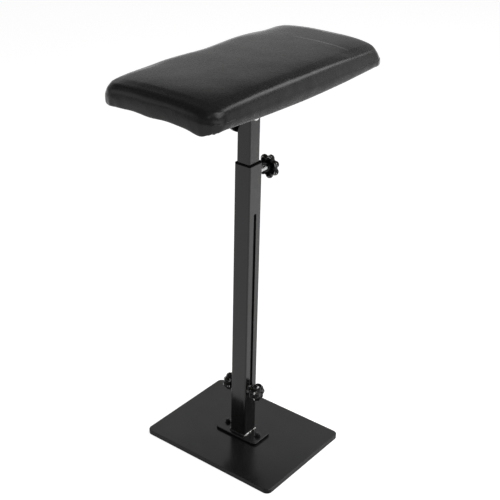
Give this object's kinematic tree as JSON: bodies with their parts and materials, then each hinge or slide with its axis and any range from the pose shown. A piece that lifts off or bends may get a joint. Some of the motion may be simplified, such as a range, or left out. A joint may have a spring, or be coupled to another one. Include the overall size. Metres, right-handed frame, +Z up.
{
  "type": "leg rest stand",
  "caption": "Free-standing leg rest: steel base plate, telescopic square post clamped by star knobs, and a padded leathercloth top that tilts.",
  "frame": {"origin": "centre of the base plate's underside, on the floor", "axes": "+Z up along the post; +X along the pad's length, towards the clamp knob; +Y across the pad, towards the tilt knob"},
  "size_m": [0.42, 0.26, 0.6669],
  "materials": {
    "black_paint": "smooth black stove enamel, satin to glossy",
    "weld": "bare steel weld bead with fine ripples",
    "zinc": "bright zinc plating",
    "knob_plastic": "black moulded plastic, fine grain",
    "insert_brass": "turned brass",
    "plywood": "bare plywood, sawn edges",
    "foam": "open-cell polyurethane foam",
    "leathercloth": "black leathercloth with a fine grain, soft sheen"
  },
  "bodies": {
    "stand": {"base_plate": "black_paint", "foot_flange": "black_paint", "foot_weld": "weld", "foot_bolt_front": "zinc", "foot_washer_front": "zinc", "foot_nut_front": "zinc", "foot_bolt_rear": "zinc", "foot_washer_rear": "zinc", "foot_nut_rear": "zinc", "outer_tube": "black_paint", "clamp_nut": "black_paint"},
    "post": {"inner_tube": "black_paint", "slot_bolt": "zinc", "front_slot_washer": "zinc", "rear_slot_washer": "zinc", "pivot_bolt": "zinc", "tilt_spacer_washer": "zinc", "tilt_knob_washer": "zinc"},
    "clamp": {"clamp_screw": "zinc", "clamp_knob": "knob_plastic"},
    "front_knob": {"front_slot_knob": "knob_plastic", "front_knob_insert": "insert_brass"},
    "rear_knob": {"rear_slot_knob": "knob_plastic", "rear_knob_insert": "insert_brass"},
    "tilt_clamp": {"tilt_knob": "knob_plastic", "tilt_knob_insert": "insert_brass"},
    "pad": {"tilt_bracket": "black_paint", "bracket_screw_1": "zinc", "bracket_screw_2": "zinc", "bracket_screw_3": "zinc", "bracket_screw_4": "zinc", "pad_board": "plywood", "foam_core": "foam", "leather_cover": "leathercloth"}
  },
  "joints": [
    {"name": "height_slide", "type": "slide", "parent": "stand", "child": "post", "axis": [0, 0, 1], "range_m": [0, 0.319]},
    {"name": "pad_tilt", "type": "hinge", "parent": "post", "child": "pad", "pos_m": [0, 0, 0.5791], "axis": [0, 1, 0], "range_deg": [-75, 75]},
    {"name": "clamp_turn", "type": "hinge", "parent": "stand", "child": "clamp", "pos_m": [0.0435, 0, 0.4806], "axis": [1, 0, 0], "range_deg": [0, 540]},
    {"name": "front_knob_turn", "type": "hinge", "parent": "post", "child": "front_knob", "pos_m": [0, -0.02, 0.0986], "axis": [0, -1, 0], "range_deg": [0, 540]},
    {"name": "rear_knob_turn", "type": "hinge", "parent": "post", "child": "rear_knob", "pos_m": [0, 0.02, 0.0986], "axis": [0, 1, 0], "range_deg": [0, 540]},
    {"name": "tilt_knob_turn", "type": "hinge", "parent": "post", "child": "tilt_clamp", "pos_m": [0, 0.02, 0.5791], "axis": [0, 1, 0], "range_deg": [0, 540]}
  ]
}
